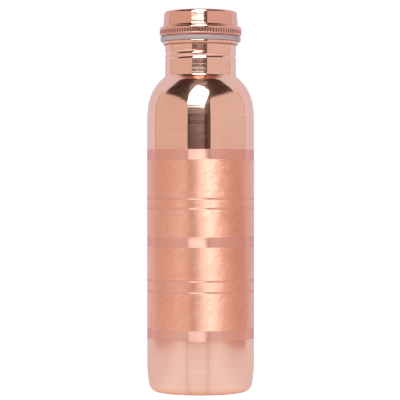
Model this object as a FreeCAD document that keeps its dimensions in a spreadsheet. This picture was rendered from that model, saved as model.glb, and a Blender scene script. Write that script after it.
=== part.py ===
"""Copper water bottle: a seamless drawn body with a rolled screw thread in its neck, a pressed lid shell
with a knurled rim, a threaded plug crimped into the shell, and a silicone sealing ring.

Frame: millimetres, +Z up along the bottle's axis, origin at the centre of the standing ring.
The front is -Y.
"""
import FreeCAD, Part
import math
import os
import re
import Sketcher

SIZES = {
    # Drawn body, sizes of its outside
    "wall": 0.5,
    "body_radius": 37.5,
    "panel_radius": 23.5,
    "panel_rise": 2.0,
    "ring_radius": 26.5,
    "corner_radius": 6.5,
    "heel_radius": 86.2,
    "heel_height": 20.3,
    "shoulder_height": 186.5,
    "shoulder_radius": 109.6,
    "shoulder_turn": 6.1,
    "crown_radius": 31.7,
    "neck_fillet": 2.8,
    "neck_radius": 24.85,
    # Rolled lip
    "collar_height": 241.0,
    "collar_radius": 25.4,
    "lip_height": 244.0,
    "lip_radius": 26.65,
    "lip_rounding": 0.9,
    "mouth_rounding": 0.4,
    # Turned bands and fine lines, from the top down
    "band_depth": 0.1,
    "band_hollow": 0.03,
    "band_width": 7.0,
    "line_width": 1.4,
    "top_band": 164.9,
    "middle_band": 104.7,
    "bottom_band": 40.9,
    "upper_line": 134.5,
    "upper_second_line": 127.8,
    "lower_line": 78.1,
    "lower_second_line": 70.5,
    # Screw thread, right-handed
    "thread_pitch": 3.45,
    "thread_turns": 1.33,
    "thread_top": 236.3,
    "thread_end_angle": 280,
    "thread_depth": 0.6,
    "thread_width": 2.4,
    "thread_crest": 0.9,
    "thread_overrun": 5,
    "thread_bite": 0.2,
    # Plug
    "plug_clearance": 0.2,
    "plug_wall": 1.2,
    "plug_bottom": 229.0,
    "plug_chamfer": 0.8,
    "plug_step_radius": 26.2,
    "plug_rim_radius": 27.8,
    "plug_sheet": 0.6,
    "plug_rim_chamfer": 0.4,
    "plug_rim_play": 0.15,
    "plug_thread_play": 0.2,
    "plug_thread_overrun": 15,
    # Sealing ring
    "seal_height": 3.2,
    "seal_inner_radius": 24.4,
    "seal_radius": 28.1,
    "seal_rounding": 0.9,
    # Lid shell, sizes of its outside
    "cap_top": 265.5,
    "dome": 0.4,
    "knob_radius": 25.5,
    "knob_foot_radius": 26.1,
    "knob_corner": 1.6,
    "knob_fillet": 0.5,
    "rim_gap": 0.5,
    "rim_top": 254.4,
    "rim_radius": 28.6,
    "rim_upper_rounding": 1.7,
    "rim_lower_rounding": 1.0,
    "curl_radius": 26.5,
    # Knurled band
    "knurl_count": 90,
    "knurl_depth": 0.25,
    "knurl_width": 1.3,
    "knurl_bottom": 249.0,
    "knurl_height": 3.0,
}

# Which way an arc of an outline turns
LEFT = 1
RIGHT = -1

# A sketch's own axes and origin, as its constraints number them
HORIZONTAL_AXIS = -1
VERTICAL_AXIS = -2
SKETCH_ORIGIN = (-1, 1)

NOUGHT = 1e-9
LEAST_VOLUME_CHANGE = 0.1

# Expressions of the sizes that more than one outline uses

HEEL_TURN = "asin((heel_height - corner_radius) / (heel_radius - corner_radius))"
CROWN_OFFSET = "(shoulder_radius - crown_radius)"
CROWN_CENTRE_RADIUS = f"(body_radius - shoulder_radius + {CROWN_OFFSET} * cos(shoulder_turn))"
CROWN_CENTRE_HEIGHT = f"(shoulder_height + {CROWN_OFFSET} * sin(shoulder_turn))"
CROWN_TURN = f"acos((neck_radius + neck_fillet - {CROWN_CENTRE_RADIUS}) / (crown_radius + neck_fillet))"
NECK_BORE = "(neck_radius - wall)"
PLUG_RADIUS = "(neck_radius - wall - plug_clearance)"
SEAL_TOP = "(lip_height + seal_height)"
RIM_BOTTOM = "(lip_height + seal_height + rim_gap)"
DOME_RADIUS = "((knob_radius - knob_corner)^2 + dome^2) / (2 * dome)"


def add_sizes(document):
    """Make the spreadsheet of driving sizes, one alias a row."""
    sheet = document.addObject("Spreadsheet::Sheet", "Sizes")
    for row, (alias, value) in enumerate(SIZES.items(), start=1):
        sheet.set(f"A{row}", alias)
        sheet.set(f"B{row}", str(value))
        sheet.setAlias(f"B{row}", alias)
    document.recompute()
    return sheet


def bound(expression):
    """Name the spreadsheet in front of every alias of an expression."""
    return re.sub(r"[a-z_]+", lambda word: f"Sizes.{word[0]}" if word[0] in SIZES else word[0], expression)


def value_of(sheet, expression):
    """Work out an expression of the sheet's sizes as a plain number."""
    result = sheet.evalExpression(bound(expression))
    return float(getattr(result, "Value", result))


def add_body(document, name):
    """Make an empty body whose label is the node's name."""
    body = document.addObject("PartDesign::Body", name)
    body.Label = name
    return body


def origin_plane(body, role):
    """Find one of a body's own origin planes."""
    return next(plane for plane in body.Origin.OriginFeatures if plane.Role == role)


def add_sketch(body, name, role="XZ_Plane"):
    """Attach an empty sketch to an origin plane. On XZ its axes are the radius and the height."""
    sketch = body.newObject("Sketcher::SketchObject", name)
    sketch.AttachmentSupport = [(origin_plane(body, role), "")]
    sketch.MapMode = "FlatFace"
    return sketch



def add_segment(sheet, sketch, start, end, step):
    """Add one side of an outline. Returns its number, and which of its ends it starts and stops at."""
    if len(step) == 2:
        return sketch.addGeometry(Part.LineSegment(start, end), False), 1, 2
    radius = value_of(sheet, step[2])
    turn = step[3]
    chord = end - start
    left = FreeCAD.Vector(-chord.y, chord.x, 0).normalize()
    reach = math.sqrt(max(radius ** 2 - (chord.Length / 2) ** 2, 0))
    centre = start + chord * 0.5 + left * (turn * reach)
    first, last = (start, end) if turn == LEFT else (end, start)
    begin = math.atan2(first.y - centre.y, first.x - centre.x)
    finish = math.atan2(last.y - centre.y, last.x - centre.x)
    if finish < begin:
        finish += 2 * math.pi
    circle = Part.Circle(centre, FreeCAD.Vector(0, 0, 1), radius)
    side = sketch.addGeometry(Part.ArcOfCircle(circle, begin, finish), False)
    radius_constraint = sketch.addConstraint(Sketcher.Constraint("Radius", side, radius))
    sketch.setExpression(f"Constraints[{radius_constraint}]", bound(step[2]))
    return (side, 1, 2) if turn == LEFT else (side, 2, 1)


def hold_point(sketch, side, end, point, step):
    """Bind one corner of an outline to the sheet, or to the sketch's axis where a coordinate is nought."""
    across = ("DistanceX", VERTICAL_AXIS, point.x, step[0])
    along = ("DistanceY", HORIZONTAL_AXIS, point.y, step[1])
    for kind, axis, number, expression in (across, along):
        if abs(number) < NOUGHT:
            sketch.addConstraint(Sketcher.Constraint("PointOnObject", side, end, axis))
            continue
        constraint = sketch.addConstraint(Sketcher.Constraint(kind, *SKETCH_ORIGIN, side, end, number))
        sketch.setExpression(f"Constraints[{constraint}]", bound(expression))


def draw_outline(sheet, sketch, steps):
    """Draw a closed outline in a sketch, bound to the sheet.

    Each step says where a side ends: (x, y) for a straight side, (x, y, radius, turn) for an arc.
    The first step's side closes the outline.
    """
    points = [FreeCAD.Vector(value_of(sheet, step[0]), value_of(sheet, step[1]), 0) for step in steps]
    starts = points[-1:] + points[:-1]
    sides = [add_segment(sheet, sketch, *ends) for ends in zip(starts, points, steps)]
    for index, (side, _, last) in enumerate(sides):
        following, first, _ = sides[(index + 1) % len(sides)]
        sketch.addConstraint(Sketcher.Constraint("Coincident", side, last, following, first))
        hold_point(sketch, side, last, points[index], steps[index])


def add_revolved(sheet, body, kind, name, outlines):
    """Turn closed outlines about the bottle's axis: a Revolution adds, a Groove cuts."""
    sketch = add_sketch(body, f"{name}_outline")
    for steps in outlines:
        draw_outline(sheet, sketch, steps)
    feature = body.newObject(f"PartDesign::{kind}", name)
    feature.Profile = sketch
    feature.ReferenceAxis = (sketch, ["V_Axis"])
    feature.Angle = 360
    return feature


def add_thread(sheet, body, kind, name, root, crest, root_width, crest_width, start, turns, angle):
    """Sweep a trapezium along the right-handed thread: an AdditiveHelix adds, a SubtractiveHelix cuts."""
    sketch = add_sketch(body, f"{name}_outline")
    about_height = FreeCAD.Rotation(FreeCAD.Vector(0, 1, 0), 1)
    sketch.AttachmentOffset = FreeCAD.Placement(FreeCAD.Vector(), about_height)
    sketch.setExpression("AttachmentOffset.Rotation.Angle", bound(angle))
    draw_outline(sheet, sketch, [
        (root, f"{start} - ({root_width}) / 2"),
        (crest, f"{start} - ({crest_width}) / 2"),
        (crest, f"{start} + ({crest_width}) / 2"),
        (root, f"{start} + ({root_width}) / 2"),
    ])
    helix = body.newObject(f"PartDesign::{kind}", name)
    helix.Profile = sketch
    helix.ReferenceAxis = (sketch, ["V_Axis"])
    helix.Mode = "pitch-turns-angle"
    helix.setExpression("Pitch", bound("thread_pitch"))
    helix.setExpression("Turns", bound(turns))
    return helix


def wall_outline(inset):
    """The bottle's outside from the middle of its base to the foot of its neck, moved inwards by inset."""
    heel = f"(heel_radius - {inset})"
    shoulder = f"(shoulder_radius - {inset})"
    crown = f"(crown_radius - {inset})"
    fillet_centre = f"{CROWN_CENTRE_HEIGHT} + (crown_radius + neck_fillet) * sin({CROWN_TURN})"
    corner_centre = f"body_radius - heel_radius + (heel_radius - corner_radius) * cos({HEEL_TURN})"
    return [
        ("0", f"panel_rise + {inset}"),
        ("panel_radius", f"panel_rise + {inset}"),
        ("ring_radius", f"{inset}"),
        (corner_centre, f"{inset}"),
        (f"body_radius - heel_radius + {heel} * cos({HEEL_TURN})",
         f"heel_height - {heel} * sin({HEEL_TURN})", f"corner_radius - {inset}", LEFT),
        (f"body_radius - {inset}", "heel_height", heel, LEFT),
        (f"body_radius - {inset}", "shoulder_height"),
        (f"body_radius - shoulder_radius + {shoulder} * cos(shoulder_turn)",
         f"shoulder_height + {shoulder} * sin(shoulder_turn)", shoulder, LEFT),
        (f"{CROWN_CENTRE_RADIUS} + {crown} * cos({CROWN_TURN})",
         f"{CROWN_CENTRE_HEIGHT} + {crown} * sin({CROWN_TURN})", crown, LEFT),
        (f"neck_radius - {inset}", fillet_centre, f"neck_fillet + {inset}", RIGHT),
    ]


def turned_band(middle, width):
    """The outline of a shallow band cut round the body, its bottom a little hollow."""
    edge = "body_radius - band_depth + band_hollow"
    hollow_radius = f"({width} * {width} / 4 + band_hollow * band_hollow) / (2 * band_hollow)"
    return [
        (edge, f"{middle} - {width} / 2", hollow_radius, LEFT),
        ("body_radius + band_depth", f"{middle} - {width} / 2"),
        ("body_radius + band_depth", f"{middle} + {width} / 2"),
        (edge, f"{middle} + {width} / 2"),
    ]


def make_bottle_body(document, sheet):
    """One seamless drawn piece: push-up base, wall, shoulder, threaded neck and rolled lip."""
    body = add_body(document, "bottle_body")
    lip_edge = "lip_height - lip_rounding"
    add_revolved(sheet, body, "Revolution", "outside", [wall_outline("0") + [
        ("neck_radius", "collar_height"),
        ("collar_radius", "collar_height"),
        ("lip_radius - lip_rounding", "lip_height - 2 * lip_rounding"),
        ("lip_radius", lip_edge, "lip_rounding", LEFT),
        ("lip_radius - lip_rounding", "lip_height", "lip_rounding", LEFT),
        ("0", "lip_height"),
    ]])
    add_revolved(sheet, body, "Groove", "inside", [wall_outline("wall") + [
        (NECK_BORE, "lip_height - mouth_rounding"),
        (f"{NECK_BORE} + mouth_rounding", "lip_height", "mouth_rounding", RIGHT),
        (f"{NECK_BORE} + mouth_rounding", "lip_height + 1"),
        ("0", "lip_height + 1"),
    ]])
    bands = [(middle, "band_width") for middle in ("top_band", "middle_band", "bottom_band")]
    lines = ("upper_line", "upper_second_line", "lower_line", "lower_second_line")
    bands += [(middle, "line_width") for middle in lines]
    add_revolved(sheet, body, "Groove", "turned_bands", [turned_band(*band) for band in bands])
    whole_turns = "(thread_turns + 2 * thread_overrun / 360)"
    add_thread(
        sheet, body, "AdditiveHelix", "thread_ridge",
        f"{NECK_BORE} + thread_bite", f"{NECK_BORE} - thread_depth",
        "thread_width + 2 * thread_bite", "thread_crest",
        f"(thread_top + thread_pitch * thread_overrun / 360 - thread_pitch * {whole_turns})",
        whole_turns, "thread_end_angle - 360 * thread_turns - thread_overrun")
    add_thread(
        sheet, body, "SubtractiveHelix", "thread_groove",
        "neck_radius + thread_bite", "neck_radius - thread_depth",
        "thread_width + 2 * thread_bite", "thread_crest",
        "(thread_top - thread_pitch * thread_turns)",
        "thread_turns", "thread_end_angle - 360 * thread_turns")
    return body


def make_cap_plug(document, sheet):
    """The plug inside the mouth: a closed threaded cup, stepped out to a rim that the shell holds."""
    body = add_body(document, "cap_plug")
    step_height = f"{RIM_BOTTOM} + wall"
    rim_inside = "plug_rim_radius - plug_sheet"
    rim_height = "rim_top - wall - plug_rim_play"
    add_revolved(sheet, body, "Revolution", "cup", [[
        ("0", "plug_bottom"),
        (f"{PLUG_RADIUS} - plug_chamfer", "plug_bottom"),
        (PLUG_RADIUS, "plug_bottom + plug_chamfer"),
        (PLUG_RADIUS, SEAL_TOP),
        ("plug_step_radius", SEAL_TOP),
        ("plug_step_radius", step_height),
        ("plug_rim_radius - plug_rim_chamfer", step_height),
        ("plug_rim_radius", f"{step_height} + plug_rim_chamfer"),
        ("plug_rim_radius", f"{rim_height} - plug_rim_chamfer"),
        ("plug_rim_radius - plug_rim_chamfer", rim_height),
        (rim_inside, rim_height),
        (rim_inside, f"{step_height} + plug_sheet"),
        (f"{PLUG_RADIUS} - plug_wall", f"{step_height} + plug_sheet"),
        (f"{PLUG_RADIUS} - plug_wall", "plug_bottom + plug_wall"),
        ("0", "plug_bottom + plug_wall"),
    ]])
    start = "(plug_bottom - thread_pitch / 2)"
    turns = f"((thread_top + thread_pitch * plug_thread_overrun / 360 - {start}) / thread_pitch)"
    add_thread(
        sheet, body, "SubtractiveHelix", "plug_thread",
        f"{PLUG_RADIUS} + thread_bite", f"{PLUG_RADIUS} - thread_depth",
        "thread_width + 2 * (thread_bite + plug_thread_play)", "thread_crest + 2 * plug_thread_play",
        start, turns, f"thread_end_angle + plug_thread_overrun - 360 * {turns}")
    return body


def make_gasket(document, sheet):
    """The silicone ring between the lip and the plug's step, rounded where it shows."""
    body = add_body(document, "gasket")
    add_revolved(sheet, body, "Revolution", "ring", [[
        ("seal_inner_radius", "lip_height"),
        ("seal_radius - seal_rounding", "lip_height"),
        ("seal_radius", "lip_height + seal_rounding", "seal_rounding", LEFT),
        ("seal_radius", f"{SEAL_TOP} - seal_rounding"),
        ("seal_radius - seal_rounding", SEAL_TOP, "seal_rounding", LEFT),
        ("seal_inner_radius", SEAL_TOP),
    ]])
    return body


def shell_outline(inset):
    """The lid shell's outside from the middle of its top to the end of its curl, moved inwards by inset."""
    corner_height = "cap_top - dome"
    return [
        ("0", f"cap_top - {inset}"),
        ("knob_radius - knob_corner", f"{corner_height} - {inset}", DOME_RADIUS, RIGHT),
        (f"knob_radius - {inset}", f"{corner_height} - knob_corner", f"knob_corner - {inset}", RIGHT),
        (f"knob_foot_radius - {inset}", "rim_top + knob_fillet"),
        ("knob_foot_radius + knob_fillet", f"rim_top - {inset}", f"knob_fillet + {inset}", LEFT),
        (f"rim_radius - {inset}", "rim_top - rim_upper_rounding", f"rim_upper_rounding - {inset}", RIGHT),
        (f"rim_radius - {inset}", f"{RIM_BOTTOM} + rim_lower_rounding"),
        ("rim_radius - rim_lower_rounding", f"{RIM_BOTTOM} + {inset}",
         f"rim_lower_rounding - {inset}", RIGHT),
        ("curl_radius", f"{RIM_BOTTOM} + {inset}"),
    ]


def backwards(steps):
    """The same stretch of outline followed the other way, every arc with its turn changed over."""
    path = [steps[-1][:2]]
    for step, target in zip(reversed(steps), reversed(steps[:-1])):
        path.append(target[:2] + ((step[2], -step[3]) if len(step) == 4 else ()))
    return path


def make_cap_shell(document, sheet):
    """The lid's pressed shell: knob, rim with a knurled band, and the curl that holds the plug's rim."""
    body = add_body(document, "cap_shell")
    add_revolved(sheet, body, "Revolution", "shell", [shell_outline("0") + backwards(shell_outline("wall"))])
    sketch = add_sketch(body, "knurl_outline", "XY_Plane")
    sketch.setExpression("AttachmentOffset.Base.z", bound("knurl_bottom"))
    draw_outline(sheet, sketch, [
        ("rim_radius - knurl_depth", "0"),
        ("rim_radius + knurl_depth", "-knurl_width"),
        ("rim_radius + knurl_depth", "knurl_width"),
    ])
    notch = body.newObject("PartDesign::Pocket", "knurl_notch")
    notch.Profile = sketch
    notch.Reversed = True
    notch.setExpression("Length", bound("knurl_height"))
    knurl = body.newObject("PartDesign::PolarPattern", "knurl")
    knurl.Originals = [notch]
    knurl.Axis = (sketch, ["N_Axis"])
    knurl.Angle = 360
    knurl.setExpression("Occurrences", bound("knurl_count"))
    body.Tip = knurl
    return body


def check_features(document):
    """Stop if any object failed, or if a feature that cuts or adds left its body's volume as it was."""
    for item in document.Objects:
        if "Invalid" in item.State or "Error" in item.State:
            raise RuntimeError(f"{item.Label} failed: {item.State}")
    for item in document.Objects:
        base = getattr(item, "BaseFeature", None)
        if base is None or item.TypeId == "PartDesign::Body":
            continue
        change = item.Shape.Volume - base.Shape.Volume
        print(f"{item.Label}: volume changes by {change:.1f} mm3")
        adds = item.TypeId in ("PartDesign::AdditiveHelix", "PartDesign::Revolution")
        if (change > 0) != adds or abs(change) < LEAST_VOLUME_CHANGE:
            raise RuntimeError(f"{item.Label} does not change its body as it should")


def write_parts(bodies):
    """Write each sub-part's shape once all of them are sound."""
    for body in bodies:
        shape = body.Shape
        if shape.isNull() or not shape.isValid() or len(shape.Solids) != 1:
            raise RuntimeError(f"{body.Label} is not one sound solid")
    os.makedirs("parts", exist_ok=True)
    for body in bodies:
        box = body.Shape.optimalBoundingBox(False, False)
        heights = f"z {box.ZMin:.2f} to {box.ZMax:.2f}"
        print(f"{body.Label}: {body.Shape.Volume:.0f} mm3, {box.XLength:.2f} wide, {heights}")
        body.Shape.exportStep(f"parts/{body.Label}.step")


def main():
    """Build the document, check it and write the parts."""
    document = FreeCAD.newDocument("water_bottle")
    sheet = add_sizes(document)
    makers = (make_bottle_body, make_cap_plug, make_gasket, make_cap_shell)
    bodies = [make(document, sheet) for make in makers]
    document.recompute()
    check_features(document)
    write_parts(bodies)


main()
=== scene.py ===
"""Looks of the copper water bottle: dense lathe-turned meshes, procedural copper and silicone, light tent.

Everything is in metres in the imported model's frame: +Z up along the bottle's axis, the front towards -Y.
"""
import math

import bpy
import numpy as np
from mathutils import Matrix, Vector


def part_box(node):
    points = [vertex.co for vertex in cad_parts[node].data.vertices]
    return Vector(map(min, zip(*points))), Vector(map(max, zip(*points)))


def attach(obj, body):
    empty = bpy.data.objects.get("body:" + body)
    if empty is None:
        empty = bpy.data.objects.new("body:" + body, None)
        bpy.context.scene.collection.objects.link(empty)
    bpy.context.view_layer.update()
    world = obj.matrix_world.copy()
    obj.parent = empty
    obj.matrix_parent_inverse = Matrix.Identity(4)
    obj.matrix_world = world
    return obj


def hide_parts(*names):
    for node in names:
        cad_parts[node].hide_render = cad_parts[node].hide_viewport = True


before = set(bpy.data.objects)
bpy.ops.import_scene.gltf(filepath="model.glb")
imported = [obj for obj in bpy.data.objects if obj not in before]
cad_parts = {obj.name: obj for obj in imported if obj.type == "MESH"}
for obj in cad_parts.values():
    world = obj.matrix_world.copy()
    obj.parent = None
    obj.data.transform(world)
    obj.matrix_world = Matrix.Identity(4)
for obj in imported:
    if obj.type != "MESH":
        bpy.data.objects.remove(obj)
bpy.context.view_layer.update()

MM = 0.001
TINY = 1e-6  # lengths closer than this count as equal

# Sizes read from the frame
bottle_low, bottle_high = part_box("bottle_body")
seal_low, seal_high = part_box("gasket")
shell_low, shell_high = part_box("cap_shell")
plug_low, plug_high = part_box("cap_plug")
BODY_RADIUS = (bottle_high.x - bottle_low.x) / 2
LIP_HEIGHT = bottle_high.z
SEAL_BOTTOM = seal_low.z
SEAL_TOP = seal_high.z
SEAL_RADIUS = (seal_high.x - seal_low.x) / 2
RIM_BOTTOM = shell_low.z
RIM_RADIUS = (shell_high.x - shell_low.x) / 2
CAP_TOP = shell_high.z
PLUG_BOTTOM = plug_low.z
PLUG_RIM_RADIUS = (plug_high.x - plug_low.x) / 2
PLUG_TOP = plug_high.z

# Drawn body
WALL = 0.5 * MM
PANEL_RADIUS = 23.5 * MM
PANEL_RISE = 2.0 * MM
RING_RADIUS = 26.5 * MM
CORNER_RADIUS = 6.5 * MM
HEEL_RADIUS = 86.2 * MM
HEEL_HEIGHT = 20.3 * MM
SHOULDER_HEIGHT = 186.5 * MM
SHOULDER_RADIUS = 109.6 * MM
SHOULDER_TURN = math.radians(6.1)
CROWN_RADIUS = 31.7 * MM
NECK_FILLET = 2.0 * MM
NECK_RADIUS = 24.85 * MM
COLLAR_HEIGHT = LIP_HEIGHT - 3.0 * MM
COLLAR_RADIUS = 25.4 * MM
LIP_RADIUS = 26.65 * MM
LIP_THICKNESS = 1.8 * MM
LIP_ROUNDING = 0.5 * MM
MOUTH_ROUNDING = 0.4 * MM

# Turned bands and fine lines: middle height and width
BAND_DEPTH = 0.1 * MM
BAND_HOLLOW = 0.03 * MM
BAND_EDGE = 0.02 * MM
BANDS = [(164.9 * MM, 7.0 * MM), (104.7 * MM, 7.0 * MM), (40.9 * MM, 7.0 * MM)]
LINES = [(134.5 * MM, 1.4 * MM), (127.8 * MM, 1.4 * MM), (78.1 * MM, 1.4 * MM), (70.5 * MM, 1.4 * MM)]

# Screw thread
THREAD_PITCH = 3.45 * MM
THREAD_TURNS = 1.33
THREAD_TOP = LIP_HEIGHT - 7.7 * MM
THREAD_END = math.radians(280)
THREAD_DEPTH = 0.6 * MM
THREAD_HALF_WIDTH = 1.5 * MM
THREAD_FADE = math.radians(35)
THREAD_MARGIN = 1.0 * MM

# Lid
DOME = 0.4 * MM
KNOB_RADIUS = 25.5 * MM
KNOB_FOOT_RADIUS = 26.1 * MM
KNOB_CORNER = 2.0 * MM
KNOB_FILLET = 0.8 * MM
RIM_TOP = RIM_BOTTOM + 6.7 * MM
RIM_UPPER_ROUNDING = 1.7 * MM
RIM_LOWER_ROUNDING = 1.0 * MM
RIM_FACE_MARGIN = 0.1 * MM
CURL_RADIUS = 26.5 * MM
KNURL_COUNT = 90
KNURL_DEPTH = 0.25 * MM
KNURL_FLAT = 0.3
KNURL_RUN_OUT = 0.5 * MM
KNURL_MARGIN = 0.2 * MM
KNURL_BOTTOM = RIM_BOTTOM + 1.0 * MM
KNURL_TOP = RIM_BOTTOM + 4.0 * MM

# Threaded plug
PLUG_RADIUS = NECK_RADIUS - WALL - 0.2 * MM
PLUG_WALL = 1.2 * MM
PLUG_CORNER = 0.8 * MM
PLUG_FLANGE_RADIUS = 26.2 * MM
PLUG_RIM_WALL = 0.6 * MM

# Sealing ring
SEAL_INNER_RADIUS = 24.4 * MM
SEAL_ROUNDING = 0.9 * MM
PARTING_RISE = 0.05 * MM
PARTING_HALF_WIDTH = 0.1 * MM

# Finish of the polished zones: heights between which one passes into the next
FOOT_POLISH_TOP = 60 * MM
SHOULDER_POLISH_BOTTOM = 170 * MM
HAZE_START = 190 * MM
STREAKS_FULL = 204 * MM
HAZE_FULL = 215 * MM
NECK_POLISH_START = 219 * MM
NECK_POLISH_FULL = 222 * MM
NECK_FADE_START = 223 * MM
NECK_FADE_END = 231 * MM

# Brush strokes that are drawn one by one climb round the bottle at least this steeply
DRAWN_SLOPE = 0.65

# Density of the meshes
SEGMENTS = 288
NECK_ROWS = 130
BORE_ROWS = 90
PLUG_ROWS = 110


# ---------------------------------------------------------------- outlines

def arc(centre, radius, start, end, steps):
    """Points of an arc in the (radius, height) plane from start to end, in degrees, without its first."""
    turns = np.radians(np.linspace(start, end, steps + 1))[1:]
    return [(centre[0] + radius * math.cos(a), centre[1] + radius * math.sin(a)) for a in turns]


def rows(start, end, count):
    """Points of a straight stretch, without its first point."""
    return [(start[0] + (end[0] - start[0]) * k / count, start[1] + (end[1] - start[1]) * k / count)
            for k in range(1, count + 1)]


def wall_profile(inset):
    """The bottle's wall from the middle of its base to the foot of its neck, moved inwards by inset."""
    heel_centre = (BODY_RADIUS - HEEL_RADIUS, HEEL_HEIGHT)
    heel_turn = math.asin((HEEL_HEIGHT - CORNER_RADIUS) / (HEEL_RADIUS - CORNER_RADIUS))
    corner_centre = (heel_centre[0] + (HEEL_RADIUS - CORNER_RADIUS) * math.cos(heel_turn), CORNER_RADIUS)
    shoulder_centre = (BODY_RADIUS - SHOULDER_RADIUS, SHOULDER_HEIGHT)
    shoulder_turn = math.degrees(SHOULDER_TURN)
    offset = SHOULDER_RADIUS - CROWN_RADIUS
    crown_centre = (shoulder_centre[0] + offset * math.cos(SHOULDER_TURN),
                    shoulder_centre[1] + offset * math.sin(SHOULDER_TURN))
    reach = CROWN_RADIUS + NECK_FILLET
    crown_turn = math.acos((NECK_RADIUS + NECK_FILLET - crown_centre[0]) / reach)
    fillet_centre = (crown_centre[0] + reach * math.cos(crown_turn),
                     crown_centre[1] + reach * math.sin(crown_turn))
    crown_turn = math.degrees(crown_turn)
    points = [(0.0, PANEL_RISE + inset)]
    points += rows(points[-1], (PANEL_RADIUS, PANEL_RISE + inset), 10)
    points += rows(points[-1], (RING_RADIUS, inset), 8)
    points += rows(points[-1], (corner_centre[0], inset), 3)
    points += arc(corner_centre, CORNER_RADIUS - inset, -90, -math.degrees(heel_turn), 20)
    points += arc(heel_centre, HEEL_RADIUS - inset, -math.degrees(heel_turn), 0, 10)
    points += [(BODY_RADIUS - inset, SHOULDER_HEIGHT)]
    points += arc(shoulder_centre, SHOULDER_RADIUS - inset, 0, shoulder_turn, 8)
    points += arc(crown_centre, CROWN_RADIUS - inset, shoulder_turn, crown_turn, 36)
    points += arc(fillet_centre, NECK_FILLET + inset, 180 + crown_turn, 180, 14)
    return points


def with_bands(points):
    """The same profile with the shallow turned bands and lines let into its straight wall."""
    edge_radius = BODY_RADIUS - BAND_DEPTH + BAND_HOLLOW
    cut = []
    for middle, width in sorted(BANDS + LINES):
        low, high = middle - width / 2, middle + width / 2
        cut += [(BODY_RADIUS, low), (edge_radius, low + BAND_EDGE), (BODY_RADIUS - BAND_DEPTH, middle)]
        cut += [(edge_radius, high - BAND_EDGE), (BODY_RADIUS, high)]
    start = next(k for k, p in enumerate(points) if p[1] >= HEEL_HEIGHT and p[0] >= BODY_RADIUS - TINY)
    return points[:start + 1] + cut + points[start + 1:]


# ---------------------------------------------------------------- meshes

def thread_dent(angle, height):
    """How deep the rolled thread is pressed at an angle and height, from 0 to 1, fading at both ends."""
    length = math.tau * THREAD_TURNS
    start = THREAD_END - length
    deepest = np.zeros_like(angle)
    for lap in range(math.ceil(THREAD_TURNS)):
        along = (angle - start) % math.tau + math.tau * lap
        centre = THREAD_TOP - THREAD_PITCH * (length - along) / math.tau
        across = np.clip(np.abs(height - centre) / THREAD_HALF_WIDTH, 0, 1)
        ramp = np.clip(np.minimum(along, length - along) / THREAD_FADE, 0, 1)
        ramp = ramp * ramp * (3 - 2 * ramp)
        deepest = np.maximum(deepest, ramp * (0.5 + 0.5 * np.cos(math.pi * across)))
    return deepest


def knurl_dent(angle, height):
    """How deep the knurling is pressed, from 0 to 1: upright notches that run out at the band's edges."""
    tooth = np.abs((angle * KNURL_COUNT / math.tau) % 1 - 0.5) * 2
    notch = np.clip((tooth - KNURL_FLAT) / (1 - KNURL_FLAT), 0, 1)
    edge = np.minimum(height - KNURL_BOTTOM, KNURL_TOP - height) / KNURL_RUN_OUT
    return notch * np.clip(edge, 0, 1)


def lathe(name, profile, segments=SEGMENTS, shift=None):
    """Turn a profile about the axis into a closed mesh. shift(angles, radii, height) gives new radii."""
    angles = np.arange(segments) * 2 * math.pi / segments
    points = []
    rings = []
    for radius, height in profile:
        if radius < TINY:
            rings.append([len(points)])
            points.append((0.0, 0.0, height))
            continue
        radii = np.full(segments, radius)
        if shift is not None:
            radii = shift(angles, radii, height)
        rings.append(list(range(len(points), len(points) + segments)))
        points += list(zip(radii * np.cos(angles), radii * np.sin(angles), np.full(segments, height)))
    pairs = list(zip(rings, rings[1:]))
    if len(rings[0]) > 1:
        pairs.append((rings[-1], rings[0]))
    faces = []
    for lower, upper in pairs:
        for k in range(segments):
            following = (k + 1) % segments
            if len(lower) == 1:
                faces.append((lower[0], upper[following], upper[k]))
            elif len(upper) == 1:
                faces.append((lower[k], lower[following], upper[0]))
            else:
                faces.append((lower[k], lower[following], upper[following], upper[k]))
    mesh = bpy.data.meshes.new(name)
    mesh.from_pydata(points, [], faces)
    mesh.validate()
    mesh.shade_smooth()
    piece = bpy.data.objects.new(name, mesh)
    bpy.context.scene.collection.objects.link(piece)
    return piece


def set_zones(piece, materials, zone_of):
    """Give each face the material whose number zone_of(radius, height) returns."""
    for material in materials:
        piece.data.materials.append(material)
    for face in piece.data.polygons:
        centre = face.center
        face.material_index = zone_of(math.hypot(centre.x, centre.y), centre.z)


def keep_sharp(piece, angle=30):
    """Leave the edges that turn by more than the angle, in degrees, out of the smooth shading."""
    piece.data.set_sharp_from_angle(angle=math.radians(angle))


# ---------------------------------------------------------------- materials

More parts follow.
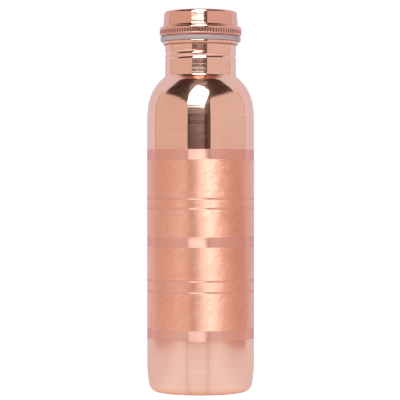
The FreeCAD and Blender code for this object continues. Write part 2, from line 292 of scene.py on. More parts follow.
class Nodes:
    """The node tree of a new material or world, with short ways to add and join nodes."""

    def __init__(self, owner, coordinates="Object"):
        owner.use_nodes = True
        self.owner = owner
        self.tree = owner.node_tree
        self.output = next(node for node in self.tree.nodes if node.type.startswith("OUTPUT"))
        self.shader = self.output.inputs["Surface"].links[0].from_node
        self.place = self.add("ShaderNodeTexCoord").outputs[coordinates]

    def add(self, kind, **settings):
        """A new node with its settings."""
        node = self.tree.nodes.new(kind)
        for key, value in settings.items():
            setattr(node, key, value)
        return node

    def join(self, source, target):
        """Link an output to an input."""
        self.tree.links.new(source, target)

    def along_helix(self, slope):
        """A place whose x and y stay the same along strokes that climb by this slope round the bottle."""
        angle = self.maths("MULTIPLY", self.height(), -1 / (slope * BODY_RADIUS))
        node = self.add("ShaderNodeVectorRotate", rotation_type="Z_AXIS")
        self.join(self.place, node.inputs["Vector"])
        self.join(angle, node.inputs["Angle"])
        return node.outputs["Vector"]

    def vectors(self, operation, first, second):
        """Vector maths on sockets or plain tuples."""
        node = self.add("ShaderNodeVectorMath", operation=operation)
        for socket, value in zip(node.inputs, (first, second)):
            if isinstance(value, tuple):
                socket.default_value = value
            else:
                self.join(value, socket)
        return node.outputs["Vector"]

    def times(self, vector, factor):
        """The vector made longer by a number or a value."""
        node = self.add("ShaderNodeVectorMath", operation="SCALE")
        self.join(vector, node.inputs[0])
        if isinstance(factor, (int, float)):
            node.inputs["Scale"].default_value = factor
        else:
            self.join(factor, node.inputs["Scale"])
        return node.outputs["Vector"]

    def leaning(self, normal, lean, way):
        """The normal tipped by a value along a way, as the sides of a fine scratch tip it."""
        tipped = self.vectors("ADD", normal, self.times(way, lean))
        return self.vectors("NORMALIZE", tipped, (0.0, 0.0, 0.0))

    def another(self, **changed):
        """A second shader like the first, apart from the inputs given."""
        shader = self.add("ShaderNodeBsdfPrincipled")
        for mine, first in zip(shader.inputs, self.shader.inputs):
            if first.is_linked:
                self.join(first.links[0].from_socket, mine)
            elif hasattr(first, "default_value"):
                mine.default_value = first.default_value
        for key, value in changed.items():
            shader.inputs[key].default_value = value
        return shader

    def fan(self, leans, weights, jitter, normal, way):
        """Share the shine out over fixed leans, since the finest strokes are too fine to draw singly."""
        mixed = None
        total = 0.0
        for lean, weight in zip(leans, weights):
            shader = self.another()
            tipped = self.leaning(normal, self.maths("ADD", jitter, lean), way)
            self.join(tipped, shader.inputs["Normal"])
            self.join(way, shader.inputs["Tangent"])
            total += weight
            shine = shader.outputs[0]
            mixed = shine if mixed is None else self.blended(weight / total, mixed, shine)
        return mixed

    def blended(self, share, first, second):
        """Two shaders mixed, by a number or a value for the second."""
        node = self.add("ShaderNodeMixShader")
        if isinstance(share, (int, float)):
            node.inputs[0].default_value = share
        else:
            self.join(share, node.inputs[0])
        self.join(first, node.inputs[1])
        self.join(second, node.inputs[2])
        return node.outputs[0]

    def finish(self, shader):
        """Use the shader, and drop the first one if only its copies are used."""
        if not any(link.to_node.type == "MIX_SHADER" for link in self.shader.outputs[0].links):
            self.tree.nodes.remove(self.shader)
        self.join(shader, self.output.inputs["Surface"])
        return self.owner

    def axes(self):
        """The smooth normal, the way round the bottle and the way up its wall."""
        normal = self.add("ShaderNodeNewGeometry").outputs["Normal"]
        around = self.add("ShaderNodeTangent", direction_type="RADIAL", axis="Z").outputs["Tangent"]
        return normal, around, self.vectors("CROSS_PRODUCT", normal, around)

    def split_place(self):
        """The place's three parts."""
        node = self.add("ShaderNodeSeparateXYZ")
        self.join(self.place, node.inputs[0])
        return node.outputs["X"], node.outputs["Y"], node.outputs["Z"]

    def height(self):
        """How high the place is."""
        return self.split_place()[2]

    def cells(self, first, second=0.0):
        """Three random numbers for each pair of whole numbers under two values."""
        node = self.add("ShaderNodeTexWhiteNoise", noise_dimensions="2D")
        pair = self.add("ShaderNodeCombineXYZ")
        for socket, value in ((pair.inputs["X"], first), (pair.inputs["Y"], second)):
            if isinstance(value, (int, float)):
                socket.default_value = value
            else:
                self.join(self.maths("FLOOR", value), socket)
        self.join(pair.outputs[0], node.inputs["Vector"])
        parts = self.add("ShaderNodeSeparateColor")
        self.join(node.outputs["Color"], parts.inputs[0])
        return parts.outputs

    def either_way(self, parts, reach):
        """A lean either way, small leans likelier than large ones."""
        total = self.maths("ADD", parts[0], parts[1])
        return self.maths("MULTIPLY", self.maths("SUBTRACT", total, 1.0), reach)

    def rings(self, width, reach):
        """Random leans of turning rings of this width."""
        return self.either_way(self.ring_numbers(width), reach)

    def ring_numbers(self, width, row=0.0):
        """Three random numbers for each turning ring of this width, others in another row."""
        return self.cells(self.maths("DIVIDE", self.height(), width), row)

    def strokes(self, slope, width, length):
        """Random numbers for strokes that climb by this slope round the bottle."""
        node = self.add("ShaderNodeSeparateXYZ")
        self.join(self.along_helix(slope), node.inputs[0])
        angle = self.maths("ARCTAN2", node.outputs["Y"], node.outputs["X"])
        steepness = math.sin(math.atan(abs(slope)))
        lane = self.maths("MULTIPLY", angle, BODY_RADIUS * steepness / width)
        rise = length * steepness
        start = self.cells(lane, 0.5)[0]
        step = self.maths("ADD", self.maths("DIVIDE", node.outputs["Z"], rise), start)
        return self.cells(lane, step)

    def maths(self, operation, first, second=0.0, third=0.0, clamp=False):
        """Maths on sockets or plain numbers."""
        node = self.add("ShaderNodeMath", operation=operation, use_clamp=clamp)
        for socket, value in zip(node.inputs, (first, second, third)):
            if isinstance(value, (int, float)):
                socket.default_value = value
            else:
                self.join(value, socket)
        return node.outputs[0]

    def noise(self, scale, detail=2.0):
        """Soft clouds, with so many to the metre along each axis."""
        node = self.add("ShaderNodeTexNoise")
        self.join(self.vectors("MULTIPLY", self.place, scale), node.inputs["Vector"])
        node.inputs["Scale"].default_value = 1.0
        node.inputs["Detail"].default_value = detail
        node.inputs["Roughness"].default_value = 0.5
        return node.outputs["Fac"]

    def spread(self, value, low, high, from_low=0.3, from_high=0.7):
        """The value remapped from from_low..from_high to low..high, and kept between them."""
        node = self.add("ShaderNodeMapRange")
        self.join(value, node.inputs["Value"])
        node.inputs["From Min"].default_value = from_low
        node.inputs["From Max"].default_value = from_high
        node.inputs["To Min"].default_value = low
        node.inputs["To Max"].default_value = high
        return node.outputs["Result"]

    def tinted(self, value, dark, light):
        """A colour between dark and light."""
        node = self.add("ShaderNodeMix", data_type="RGBA")
        self.join(value, node.inputs["Factor"])
        for key, colour in (("A_Color", dark), ("B_Color", light)):
            socket = next(s for s in node.inputs if s.identifier == key)
            socket.default_value = (*colour, 1)
        return next(s for s in node.outputs if s.identifier == "Result_Color")

    def ramp(self, value, stops):
        """A colour picked along a row of stops, each a position and a colour."""
        node = self.add("ShaderNodeValToRGB")
        elements = node.color_ramp.elements
        elements.remove(elements[1])
        elements[0].position = stops[0][0]
        elements[0].color = (*stops[0][1], 1)
        for position, colour in stops[1:]:
            elements.new(position).color = (*colour, 1)
        self.join(value, node.inputs[0])
        return node.outputs[0]

    def bumped(self, height, distance):
        """The normal of a surface raised by the height times the distance."""
        node = self.add("ShaderNodeBump")
        node.inputs["Strength"].default_value = 1.0
        node.inputs["Distance"].default_value = distance
        self.join(height, node.inputs["Height"])
        return node.outputs["Normal"]

    def base(self):
        """What drives the first shader's colour."""
        return self.shader.inputs["Base Color"].links[0].from_socket

    def colour_with(self, base):
        """Let this drive the first shader's colour."""
        self.join(base, self.shader.inputs["Base Color"])


def copper(name, dark, light, roughness):
    """Bare copper, a little lighter and darker in clouds."""
    nodes = Nodes(bpy.data.materials.new(name))
    shader = nodes.shader
    shader.inputs["Metallic"].default_value = 1.0
    shader.inputs["Roughness"].default_value = roughness
    shader.inputs["Specular Tint"].default_value = (0.9, 0.8, 0.8, 1)
    cloud = nodes.noise((28, 28, 16), detail=3)
    nodes.colour_with(nodes.tinted(nodes.spread(cloud, 0, 1), dark, light))
    return nodes


def buffed(nodes, fine_reach, middling_reach, score_reach, score_share):
    """Leans of the fine rings a buffing wheel leaves, a few of them deeper where the metal is worn."""
    fine = nodes.rings(0.12 * MM, fine_reach)
    middling = nodes.rings(0.6 * MM, middling_reach)
    scored = nodes.ring_numbers(0.15 * MM, 0.5)
    chosen = nodes.maths("LESS_THAN", scored[2], score_share)
    deep = nodes.maths("MULTIPLY", nodes.either_way(scored, score_reach), chosen)
    worn = nodes.spread(nodes.noise((40, 40, 300)), 0.0, 1.0)
    return nodes.maths("ADD", nodes.maths("ADD", fine, middling), nodes.maths("MULTIPLY", deep, worn))


def hazed(nodes, roughness, tint):
    """A duller, redder shader beside the first one, for the light that fine wear scatters."""
    base = nodes.base()
    nodes.colour_with(nodes.vectors("MULTIPLY", base, tint))
    hazy = nodes.another(Roughness=roughness)
    nodes.colour_with(base)
    return hazy.outputs[0]


def worn_with_painted_shade(nodes, height):
    """The copper's colour with rings of wear, and with painted shade in the corner under the lip."""
    corner = nodes.maths("ABSOLUTE", nodes.maths("SUBTRACT", height, COLLAR_HEIGHT + 0.5 * MM))
    beyond_shade = nodes.spread(corner, 0.0, 1.0, 0.2 * MM, 0.6 * MM)
    # Painted shade: a thin band of darker copper in the corner under the lip, where the lip shades the
    # neck.
    painted_lip_shade = nodes.tinted(beyond_shade, (0.4, 0.22, 0.16), (1, 1, 1))
    worn = nodes.spread(nodes.noise((25, 25, 120)), 0.2, 1.0)
    ring = nodes.maths("MULTIPLY", nodes.ring_numbers(0.7 * MM, 7.5)[0], worn)
    wear = nodes.tinted(ring, (1.005, 1.01, 1.01), (0.975, 0.95, 0.94))
    return nodes.vectors("MULTIPLY", nodes.base(), nodes.vectors("MULTIPLY", painted_lip_shade, wear))


def streak_share(nodes, height, ring):
    """How much of the shine is streaky: rings on the shoulder, more and coarser ones round the neck."""
    shoulder = nodes.spread(height, 0.3, 1.0, FOOT_POLISH_TOP, SHOULDER_POLISH_BOTTOM)
    shoulder = nodes.maths("MULTIPLY", nodes.spread(ring, 0.0, 0.032), shoulder)
    glow = nodes.spread(height, 0.0, 0.06, HAZE_START, STREAKS_FULL)
    shoulder = nodes.maths("ADD", shoulder, glow)
    below_neck = nodes.spread(height, 1.0, 0.0, NECK_POLISH_START, NECK_POLISH_FULL)
    shoulder = nodes.maths("MULTIPLY", shoulder, below_neck)
    neck = nodes.spread(height, 0.0, 0.18, NECK_POLISH_START, NECK_POLISH_FULL)
    fading = nodes.spread(height, 1.0, 0.35, NECK_FADE_START, NECK_FADE_END)
    neck = nodes.maths("MULTIPLY", neck, fading)
    coarse = nodes.spread(nodes.ring_numbers(1.3 * MM, 3.5)[0], 0.3, 1.6)
    return nodes.maths("ADD", shoulder, nodes.maths("MULTIPLY", neck, coarse))


def polished_copper():
    """Mirror polish, hazier and more streaky towards the shoulder."""
    nodes = copper("polished_copper", (0.91, 0.497, 0.367), (0.93, 0.517, 0.387), 0.06)
    normal, _, up = nodes.axes()
    height = nodes.height()
    nodes.colour_with(worn_with_painted_shade(nodes, height))
    hazy = hazed(nodes, 0.35, (1.07, 0.78, 0.68))
    nodes.shader.inputs["Anisotropic"].default_value = 1.0
    rings = nodes.rings(0.9 * MM, 0.15)
    streaky = nodes.fan((-0.25, -0.08, 0.08, 0.22), (1, 0.4, 0.4, 1.2), rings, normal, up)
    hazier = nodes.spread(height, 0.15, 1.0, FOOT_POLISH_TOP, SHOULDER_POLISH_BOTTOM)
    rings = buffed(nodes, fine_reach=0.04, middling_reach=0.008, score_reach=0.3, score_share=0.03)
    jitter = nodes.maths("MULTIPLY", rings, hazier)
    mirror = nodes.fan((0.0,), (1,), jitter, normal, up)
    ring = nodes.ring_numbers(0.65 * MM, 5.5)[0]
    shine = nodes.blended(streak_share(nodes, height, ring), mirror, streaky)
    haze = nodes.spread(height, 0.06, 0.13, HAZE_START, HAZE_FULL)
    haze = nodes.maths("MULTIPLY", haze, nodes.spread(ring, 0.88, 1.12))
    return nodes.finish(nodes.blended(haze, shine, hazy))


def lid_copper():
    """Pressed copper polished on a lathe, redder than the bottle and with plainer rings."""
    nodes = copper("lid_copper", (0.83, 0.40, 0.29), (0.86, 0.42, 0.31), 0.09)
    hazy = hazed(nodes, 0.35, (1.1, 0.75, 0.65))
    nodes.shader.inputs["Anisotropic"].default_value = 1.0
    normal, _, up = nodes.axes()
    rings = buffed(nodes, fine_reach=0.035, middling_reach=0.035, score_reach=0.3, score_share=0.05)
    shine = nodes.fan((0.0,), (1,), rings, normal, up)
    return nodes.finish(nodes.blended(0.1, shine, hazy))


def knurled_copper():
    """The lid's copper with dull, darker notches pressed into it."""
    nodes = copper("knurled_copper", (0.80, 0.37, 0.27), (0.84, 0.40, 0.30), 0.22)
    x, y, z = nodes.split_place()
    turn = nodes.maths("MULTIPLY", nodes.maths("ARCTAN2", y, x), KNURL_COUNT)
    notch = nodes.spread(nodes.maths("COSINE", turn), 0.0, 1.0, -0.5, 0.4)
    below = nodes.spread(z, 1.0, 0.0, KNURL_TOP - KNURL_RUN_OUT, KNURL_TOP + KNURL_MARGIN)
    above = nodes.spread(z, 0.0, 1.0, KNURL_BOTTOM - KNURL_MARGIN, KNURL_BOTTOM + KNURL_RUN_OUT)
    deep = nodes.maths("MULTIPLY", notch, nodes.maths("MULTIPLY", below, above), clamp=True)
    deep = nodes.maths("MULTIPLY", deep, nodes.spread(nodes.noise((150, 150, 150)), 0.6, 1.0))
    nodes.colour_with(nodes.tinted(deep, (0.80, 0.37, 0.27), (0.14, 0.045, 0.035)))
    return nodes.owner


def turned_copper():
    """Satin left by a tool going round: sharp across, spread up and down."""
    nodes = copper("turned_copper", (0.85, 0.385, 0.285), (0.88, 0.41, 0.305), 0.24)
    nodes.shader.inputs["Specular Tint"].default_value = (0.75, 0.62, 0.65, 1)
    hazy = nodes.another(Roughness=0.55)
    nodes.shader.inputs["Anisotropic"].default_value = 1.0
    normal, _, up = nodes.axes()
    rings = nodes.rings(0.25 * MM, 0.1)
    turned = nodes.fan((-0.2, -0.07, 0.07, 0.26), (3, 3, 3, 1.8), rings, normal, up)
    return nodes.finish(nodes.blended(0.3, turned, hazy.outputs[0]))


def brushed_copper():
    """Satin brushed aslant, mostly up to the right and a little the other way."""
    nodes = copper("brushed_copper", (0.935, 0.388, 0.26), (0.975, 0.438, 0.295), 0.28)
    for slope, width, length in ((DRAWN_SLOPE, 0.4 * MM, 3 * MM), (0.6, 0.9 * MM, 5 * MM)):
        grain = nodes.strokes(slope, width, length)[2]
        shade = nodes.tinted(grain, (0.96, 0.94, 0.935), (1.02, 1.03, 1.035))
        nodes.colour_with(nodes.vectors("MULTIPLY", nodes.base(), shade))
    nodes.shader.inputs["Anisotropic"].default_value = 0.95
    nodes.shader.inputs["Specular Tint"].default_value = (0.95, 0.93, 0.97, 1)
    normal, around, up = nodes.axes()
    mixed = None
    total = 0.0
    for slope, share in ((0.4, 0.42), (0.85, 0.48), (-0.8, 0.1)):
        turn = math.atan(slope)
        way = nodes.vectors("ADD", nodes.times(around, -math.sin(turn)), nodes.times(up, math.cos(turn)))
        drawn = max(DRAWN_SLOPE, slope) if slope > 0 else slope
        fine = nodes.either_way(nodes.strokes(drawn, 0.3 * MM, 3 * MM), 0.3)
        wide = nodes.either_way(nodes.strokes(drawn, 0.8 * MM, 5 * MM), 0.09)
        jitter = nodes.maths("ADD", fine, wide)
        family = nodes.fan((-0.42, -0.1, 0.14, 0.42), (1.2, 3.8, 3, 2), jitter, normal, way)
        total += share
        mixed = family if mixed is None else nodes.blended(share / total, mixed, family)
    return nodes.finish(mixed)


def inner_copper():
    """The drawn, unpolished inside."""
    nodes = copper("inner_copper", (0.78, 0.33, 0.22), (0.88, 0.42, 0.30), 0.3)
    normal, _, up = nodes.axes()
    nodes.join(nodes.leaning(normal, nodes.rings(0.2 * MM, 0.3), up), nodes.shader.inputs["Normal"])
    return nodes.owner


def silicone():
    """Cloudy grey silicone with a fine moulded grain."""
    nodes = Nodes(bpy.data.materials.new("silicone"))
    shader = nodes.shader
    cloud = nodes.spread(nodes.noise((120, 120, 120), detail=3), 0, 1)
    grain = nodes.noise((2500, 2500, 2500))
    nodes.colour_with(nodes.tinted(cloud, (0.335, 0.213, 0.203), (0.352, 0.228, 0.218)))
    nodes.join(nodes.spread(grain, 0.42, 0.55), shader.inputs["Roughness"])
    nodes.join(nodes.bumped(grain, 0.01 * MM), shader.inputs["Normal"])
    shader.inputs["Subsurface Weight"].default_value = 0.35
    shader.inputs["Subsurface Radius"].default_value = (2.0 * MM, 1.6 * MM, 1.6 * MM)
    shader.inputs["Subsurface Scale"].default_value = 1.0
    return nodes.owner


# ---------------------------------------------------------------- pieces

POLISHED, TURNED, BRUSHED, INNER = range(4)


def body_zone(radius, height):
    """Which finish a face of the bottle has."""
    if not HEEL_HEIGHT < height < SHOULDER_HEIGHT:
        return POLISHED
    if radius < BODY_RADIUS - WALL * 0.9:
        return INNER
    for middle, width in BANDS + LINES:
        if abs(height - middle) < width / 2 + TINY:
            return TURNED
    low, high = BANDS[-1][0], BANDS[0][0]
    return BRUSHED if low < height < high else POLISHED


def make_bottle(finishes):
    """The drawn body, with the thread pressed through its neck."""
    profile = with_bands(wall_profile(0.0))
    neck_foot = profile[-1]
    profile += rows(neck_foot, (NECK_RADIUS, COLLAR_HEIGHT), NECK_ROWS)
    profile += rows(profile[-1], (COLLAR_RADIUS, COLLAR_HEIGHT), 2)
    edge = LIP_RADIUS - LIP_ROUNDING
    profile += rows(profile[-1], (edge, LIP_HEIGHT - LIP_THICKNESS), 8)
    profile += arc((edge, LIP_HEIGHT - LIP_THICKNESS + LIP_ROUNDING), LIP_ROUNDING, -90, 0, 8)
    profile += arc((edge, LIP_HEIGHT - LIP_ROUNDING), LIP_ROUNDING, 0, 90, 8)
    mouth = NECK_RADIUS - WALL + MOUTH_ROUNDING
    profile += rows(profile[-1], (mouth, LIP_HEIGHT), 4)
    profile += arc((mouth, LIP_HEIGHT - MOUTH_ROUNDING), MOUTH_ROUNDING, 90, 180, 5)
    inner_wall = wall_profile(WALL)
    profile += rows(profile[-1], inner_wall[-1], BORE_ROWS)
    profile += inner_wall[-2::-1]

    def shift(angles, radii, height):
        threaded = neck_foot[1] < height < COLLAR_HEIGHT - THREAD_MARGIN
        if threaded and radii[0] < NECK_RADIUS + TINY:
            return radii - THREAD_DEPTH * thread_dent(angles, np.full_like(angles, height))
        return radii

    piece = lathe("bottle_shell", profile, shift=shift)
    set_zones(piece, finishes, body_zone)
    keep_sharp(piece)
    return piece


def shell_profile(inset):
    """The lid shell from the middle of its top to the end of its curl, moved inwards by inset."""
    corner_top = CAP_TOP - DOME
    corner_start = KNOB_RADIUS - KNOB_CORNER
    dome_radius = (corner_start ** 2 + DOME ** 2) / (2 * DOME)
    dome_turn = math.degrees(math.asin(corner_start / dome_radius))
    points = [(0.0, CAP_TOP - inset)]
    points += arc((0.0, CAP_TOP - inset - dome_radius), dome_radius, 90, 90 - dome_turn, 20)
    points += arc((corner_start, corner_top - KNOB_CORNER), KNOB_CORNER - inset, 90 - dome_turn, 0, 12)
    points += rows(points[-1], (KNOB_FOOT_RADIUS - inset, RIM_TOP + KNOB_FILLET), 12)
    points += arc((KNOB_FOOT_RADIUS + KNOB_FILLET, RIM_TOP + KNOB_FILLET), KNOB_FILLET + inset, 180, 270, 6)
    upper = (RIM_RADIUS - RIM_UPPER_ROUNDING, RIM_TOP - RIM_UPPER_ROUNDING)
    points += arc(upper, RIM_UPPER_ROUNDING - inset, 90, 0, 12)
    lower = (RIM_RADIUS - RIM_LOWER_ROUNDING, RIM_BOTTOM + RIM_LOWER_ROUNDING)
    points += rows(points[-1], (RIM_RADIUS - inset, lower[1]), 16)
    points += arc(lower, RIM_LOWER_ROUNDING - inset, 0, -90, 8)
    points += rows(points[-1], (CURL_RADIUS, RIM_BOTTOM + inset), 2)
    return points


def make_lid_shell(finishes):
    """The pressed shell with its knurled rim."""
    def shift(angles, radii, height):
        if radii[0] > RIM_RADIUS - RIM_FACE_MARGIN:
            return radii - KNURL_DEPTH * knurl_dent(angles, np.full_like(angles, height))
        return radii

    def lid_zone(radius, height):
        beside = radius > RIM_RADIUS - KNURL_DEPTH - RIM_FACE_MARGIN
        return int(beside and KNURL_BOTTOM - KNURL_MARGIN < height < KNURL_TOP + KNURL_MARGIN)

    profile = shell_profile(0.0) + shell_profile(WALL)[::-1]
    piece = lathe("lid_shell", profile, segments=KNURL_COUNT * 8, shift=shift)
    set_zones(piece, finishes, lid_zone)
    keep_sharp(piece, 50)
    return piece


def make_plug(finishes):
    """The threaded plug, mostly hidden until the lid is off."""
    step = RIM_BOTTOM + WALL
    floor_top = PLUG_BOTTOM + PLUG_WALL
    crimp_radius = PLUG_RIM_RADIUS - PLUG_RIM_WALL
    crimp_foot = step + PLUG_RIM_WALL
    corner_start = PLUG_RADIUS - PLUG_CORNER
    profile = [(0.0, PLUG_BOTTOM)]
    profile += rows(profile[-1], (corner_start, PLUG_BOTTOM), 6)
    profile += arc((corner_start, PLUG_BOTTOM + PLUG_CORNER), PLUG_CORNER, -90, 0, 6)
    profile += rows(profile[-1], (PLUG_RADIUS, SEAL_TOP), PLUG_ROWS)
    profile += [(PLUG_FLANGE_RADIUS, SEAL_TOP), (PLUG_FLANGE_RADIUS, step)]
    profile += [(PLUG_RIM_RADIUS, step), (PLUG_RIM_RADIUS, PLUG_TOP)]
    profile += [(crimp_radius, PLUG_TOP), (crimp_radius, crimp_foot)]
    profile += [(PLUG_RADIUS - PLUG_WALL, crimp_foot), (PLUG_RADIUS - PLUG_WALL, floor_top)]
    profile += [(0.0, floor_top)]

    def shift(angles, radii, height):
        if abs(radii[0] - PLUG_RADIUS) > TINY or height > THREAD_TOP + THREAD_HALF_WIDTH:
            return radii
        centre = THREAD_TOP - THREAD_PITCH * (THREAD_END - angles) / math.tau
        across = (height - centre + THREAD_PITCH / 2) % THREAD_PITCH - THREAD_PITCH / 2
        across = np.clip(np.abs(across) / THREAD_HALF_WIDTH, 0, 1)
        return radii - THREAD_DEPTH * (0.5 + 0.5 * np.cos(math.pi * across))

    piece = lathe("lid_plug", profile, shift=shift)
    set_zones(piece, finishes, lambda radius, height: 0)
    keep_sharp(piece)
    return piece


def make_seal(finishes):
    """The sealing ring, rounded outside, with the mould's parting line round its middle."""
    middle = (SEAL_BOTTOM + SEAL_TOP) / 2
    side = SEAL_RADIUS - PARTING_RISE
    edge = side - SEAL_ROUNDING
    profile = rows((SEAL_INNER_RADIUS, SEAL_BOTTOM), (edge, SEAL_BOTTOM), 4)
    profile += arc((edge, SEAL_BOTTOM + SEAL_ROUNDING), SEAL_ROUNDING, -90, 0, 8)
    profile += [(side, middle - PARTING_HALF_WIDTH), (SEAL_RADIUS, middle)]
    profile += [(side, middle + PARTING_HALF_WIDTH), (side, SEAL_TOP - SEAL_ROUNDING)]
    profile += arc((edge, SEAL_TOP - SEAL_ROUNDING), SEAL_ROUNDING, 0, 90, 8)
    profile += rows(profile[-1], (SEAL_INNER_RADIUS, SEAL_TOP), 4)
    profile += rows(profile[-1], (SEAL_INNER_RADIUS, SEAL_BOTTOM), 4)
    piece = lathe("seal_ring", profile)
    set_zones(piece, finishes, lambda radius, height: 0)
    keep_sharp(piece, 40)
    return piece


# ---------------------------------------------------------------- light tent

TENT_HALF_WIDTH = 0.4
FOOT_GAP = 0.002
LEFT_BACK = 0.138
RIGHT_BACK = 0.122
BACKDROP = 0.27
SOFTBOX_DISTANCE = 1.1
TABLE_HALF_WIDTH = 3.0
STAND_DISTANCE = 1.0

# Sides of the strip of painted light mirrored in the table, each with a painted shadow line: how fast x
# grows towards the front, and x beside the axis
STRIP_RIGHT = (0.283, -5.3 * MM)
STRIP_LEFT = (-0.563, 10.9 * MM)


def glowing(name, colour, strength):
    """A surface that gives even light."""
    nodes = Nodes(bpy.data.materials.new(name))
    glow = nodes.add("ShaderNodeEmission")
    glow.inputs["Color"].default_value = (*colour, 1)
    glow.inputs["Strength"].default_value = strength
    return nodes.finish(glow.outputs[0])


def add_panel(name, corners, material):
    """A flat panel of the light tent, which the camera looks through."""
    mesh = bpy.data.meshes.new(name)
    mesh.from_pydata([tuple(c) for c in corners], [], [tuple(range(len(corners)))])
    panel = bpy.data.objects.new(name, mesh)
    bpy.context.scene.collection.objects.link(panel)
    panel.data.materials.append(material)
    panel.visible_camera = False


def direction(azimuth, elevation):
    """A unit vector: azimuth 0 is towards the camera, positive to its right."""
    a, e = math.radians(azimuth), math.radians(elevation)
    return Vector((math.sin(a) * math.cos(e), -math.cos(a) * math.cos(e), math.sin(e)))


def side_panel(name, x, outline, material):
    """A panel beside the bottle, its outline given as places along y and heights."""
    add_panel(name, [(x, y, z) for y, z in outline], material)


def facing_panel(name, y, outline, material):
    """A panel behind the bottle or in front of it, its outline given as places along x and heights."""
    add_panel(name, [(x, y, z) for x, z in outline], material)


def make_side_panels():
    """A white panel on each side, and a dimmer, warmer strip along its foot: painted shade where the panel
    meets the table.
    """
    left = glowing("left_panel_light", (1.0, 0.97, 0.97), 0.77)
    side_panel("left_panel", -TENT_HALF_WIDTH, [
        (-0.775, 0), (LEFT_BACK, 0), (LEFT_BACK, 0.44), (-0.07, 0.46), (-0.35, 0.50), (-0.775, 0.50)], left)
    right = glowing("right_panel_light", (0.97, 1.0, 1.03), 0.82)
    side_panel("right_panel", TENT_HALF_WIDTH, [
        (RIGHT_BACK, 0), (-1.05, 0), (-1.05, 0.84), (-0.30, 0.57), (RIGHT_BACK, 0.47)], right)
    # Painted shade: a dim, warm strip standing for the shadow at the right panel's foot.
    right_shaded_foot = glowing("right_shaded_foot_glow", (1.0, 0.68, 0.55), 0.6)
    side_panel("right_shaded_foot", TENT_HALF_WIDTH - FOOT_GAP, [
        (-0.42, 0), (RIGHT_BACK, 0), (RIGHT_BACK, 0.16), (-0.42, 0.16)], right_shaded_foot)
    # Painted shade: a dim strip standing for the shadow at the left panel's foot.
    left_shaded_foot = glowing("left_shaded_foot_glow", (1.0, 0.86, 0.82), 0.66)
    side_panel("left_shaded_foot", FOOT_GAP - TENT_HALF_WIDTH, [
        (-0.35, 0), (LEFT_BACK, 0), (LEFT_BACK, 0.15), (-0.35, 0.15)], left_shaded_foot)


def make_backdrop():
    """A tall backdrop, and a wing with a curved edge that joins it to each side panel."""
    back = glowing("backdrop_light", (0.84, 0.95, 1.12), 1.0)
    facing_panel("backdrop", BACKDROP, [
        (-0.67, 0), (0.76, 0), (0.76, 1.96), (0.6, 1.96), (0.2, 2.4), (-0.2, 2.4), (-0.55, 1.75),
        (-0.67, 1.45)], back)
    side_panel("left_wing", -TENT_HALF_WIDTH, [
        (0.06, 0.44), (0.05, 0.60), (0.08, 0.75), (0.16, 1.0), (0.18, 1.3), (BACKDROP, 1.3),
        (BACKDROP, 0.44)], back)
    side_panel("right_wing", TENT_HALF_WIDTH, [
        (0.03, 0.47), (0.03, 0.60), (0.05, 0.75), (0.10, 0.98), (0.17, 1.34), (BACKDROP, 1.34),
        (BACKDROP, 0.47)], back)


def make_softbox():
    """A tilted softbox with five corners, given as directions from the bottle's shoulder."""
    soft = glowing("softbox_light", (0.74, 1.08, 1.2), 7.0)
    shoulder = Vector((0, -0.025, 0.205))
    aim = direction(0, 38)
    corners = []
    for azimuth, elevation in ((-29.2, 17.6), (8.0, 15.6), (25.9, 48.9), (-10.8, 68.1), (-29.4, 44.4)):
        ray = direction(azimuth, elevation)
        corners.append(shoulder + ray * (SOFTBOX_DISTANCE / ray.dot(aim)))
    add_panel("softbox", corners, soft)


def make_tent():
    """White at the sides and behind. In front only a dark stand and the softbox show in the copper."""
    make_side_panels()
    make_backdrop()
    stand = glowing("stand_dark", (0.045, 0.02, 0.018), 1.0)
    facing_panel("stand", -STAND_DISTANCE, [(0.14, 0.1), (0.26, 0.1), (0.26, 0.38), (0.14, 0.38)], stand)
    make_softbox()


def painted_table_light(nodes):
    """Tint of the mirrored table, painted light: a brighter strip that runs out to the front, with a
    painted shadow line along each side.
    """
    x, y, _ = nodes.split_place()
    front = nodes.maths("MULTIPLY", y, -1.0)
    right = nodes.maths("SUBTRACT", x, nodes.maths("MULTIPLY_ADD", front, *STRIP_RIGHT))
    left = nodes.maths("SUBTRACT", nodes.maths("MULTIPLY_ADD", front, *STRIP_LEFT), x)
    outside = nodes.maths("MAXIMUM", right, left)
    reach = nodes.maths("MAXIMUM", nodes.maths("ADD", front, 20 * MM), 10 * MM)
    aside = nodes.maths("MULTIPLY_ADD", nodes.maths("DIVIDE", outside, reach), 0.25, 0.5)
    # Painted pool of light inside the strip, and painted shadow lines along its edges.
    return nodes.ramp(aside, (
        (0.45, (0.93, 1.07, 1.17)), (0.48, (0.92, 1.04, 1.13)), (0.5, (0.86, 0.90, 0.95)),
        (0.525, (0.93, 1.07, 1.18)), (0.6, (0.95, 1.10, 1.22)), (0.75, (0.91, 1.03, 1.14)),
        (1.0, (0.855, 0.93, 1.02))))


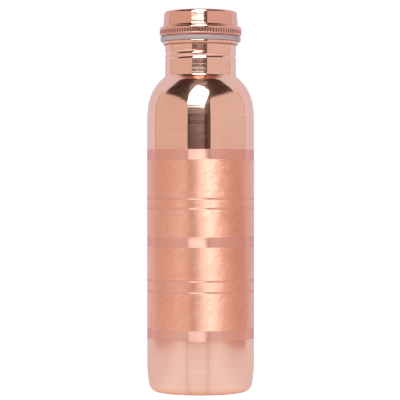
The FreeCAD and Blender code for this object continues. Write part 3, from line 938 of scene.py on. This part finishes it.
def make_floor():
    """A pale table, mirrored by the copper as an even glow apart from painted light and shade: a painted
    shadow with copper bounce right under the bottle, painted shade far away, and a painted bright strip in
    front.
    """
    size = TABLE_HALF_WIDTH
    corners = [(-size, -size, 0), (size, -size, 0), (size, size, 0), (-size, size, 0)]
    mesh = bpy.data.meshes.new("table")
    mesh.from_pydata(corners, [], [(0, 1, 2, 3)])
    floor = bpy.data.objects.new("table", mesh)
    bpy.context.scene.collection.objects.link(floor)
    nodes = Nodes(bpy.data.materials.new("white_table"))
    shader = nodes.shader
    shader.inputs["Base Color"].default_value = (0.85, 0.86, 0.87, 1)
    shader.inputs["Roughness"].default_value = 0.7
    shader.inputs["Specular IOR Level"].default_value = 0.0
    shader.inputs["Emission Color"].default_value = (1, 1, 1, 1)
    away = nodes.add("ShaderNodeVectorMath", operation="LENGTH")
    nodes.join(nodes.place, away.inputs[0])
    away = away.outputs["Value"]
    nodes.join(nodes.spread(away, 0.75, 1.05, 0.12, 0.3), shader.inputs["Emission Strength"])
    # Painted shadow with copper bounce right under the bottle, and painted shade far away, in the table's
    # mirrored glow.
    painted_shade_near_and_far = nodes.ramp(away, (
        (0.027, (0.5, 0.26, 0.17)), (0.034, (0.95, 0.80, 0.68)), (0.041, (1, 1, 1)),
        (0.45, (1, 1, 1)), (0.65, (0.6, 0.22, 0.1))))
    mirrored = nodes.add("ShaderNodeEmission")
    nodes.join(nodes.vectors("MULTIPLY", painted_table_light(nodes), painted_shade_near_and_far), mirrored.inputs["Color"])
    glossy = nodes.add("ShaderNodeLightPath").outputs["Is Glossy Ray"]
    top = nodes.blended(glossy, shader.outputs[0], mirrored.outputs[0])
    beneath = nodes.add("ShaderNodeNewGeometry").outputs["Backfacing"]
    clear = nodes.add("ShaderNodeBsdfTransparent").outputs[0]
    floor.data.materials.append(nodes.finish(nodes.blended(beneath, top, clear)))


def make_world():
    """White where the camera looks past the object; in reflections a room, dimmer higher up and aside."""
    nodes = Nodes(bpy.data.worlds.new("room"), "Generated")
    x, _, z = nodes.split_place()
    seen = nodes.shader
    seen.inputs["Color"].default_value = (1, 1, 1, 1)
    seen.inputs["Strength"].default_value = 1.05
    room = nodes.add("ShaderNodeBackground")
    dimming = nodes.ramp(z, ((0.2, (0.12, 0.10, 0.115)), (0.6, (0.048, 0.022, 0.018))))
    nodes.join(dimming, room.inputs["Color"])
    nodes.join(nodes.spread(nodes.maths("ABSOLUTE", x), 1.8, 0.4, 0.0, 0.4), room.inputs["Strength"])
    straight = nodes.add("ShaderNodeLightPath").outputs["Is Camera Ray"]
    bpy.context.scene.world = nodes.finish(nodes.blended(straight, room.outputs[0], seen.outputs[0]))


def make_camera():
    """A level camera a little over half way up the bottle, framed as the product photograph is."""
    distance = 1.328
    height = 0.141
    data = bpy.data.cameras.new("camera")
    data.sensor_width = 36.0
    data.lens = 171.02
    data.shift_x = -0.00145
    data.shift_y = -0.02688
    camera = bpy.data.objects.new("camera", data)
    camera.location = (0, -distance, height)
    camera.rotation_euler = (math.radians(90), 0, 0)
    bpy.context.scene.collection.objects.link(camera)
    bpy.context.scene.camera = camera


# ---------------------------------------------------------------- the whole scene

bpy.context.scene.view_settings.view_transform = "Standard"
finishes = [polished_copper(), turned_copper(), brushed_copper(), inner_copper()]

bottle = make_bottle(finishes)
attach(bottle, "bottle")
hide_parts("bottle_body")

lid_shell = make_lid_shell([lid_copper(), knurled_copper()])
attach(lid_shell, "lid")
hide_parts("cap_shell")

plug = make_plug([finishes[INNER]])
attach(plug, "lid")
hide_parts("cap_plug")

seal = make_seal([silicone()])
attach(seal, "seal")
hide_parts("gasket")

make_floor()
make_tent()
make_world()
make_camera()
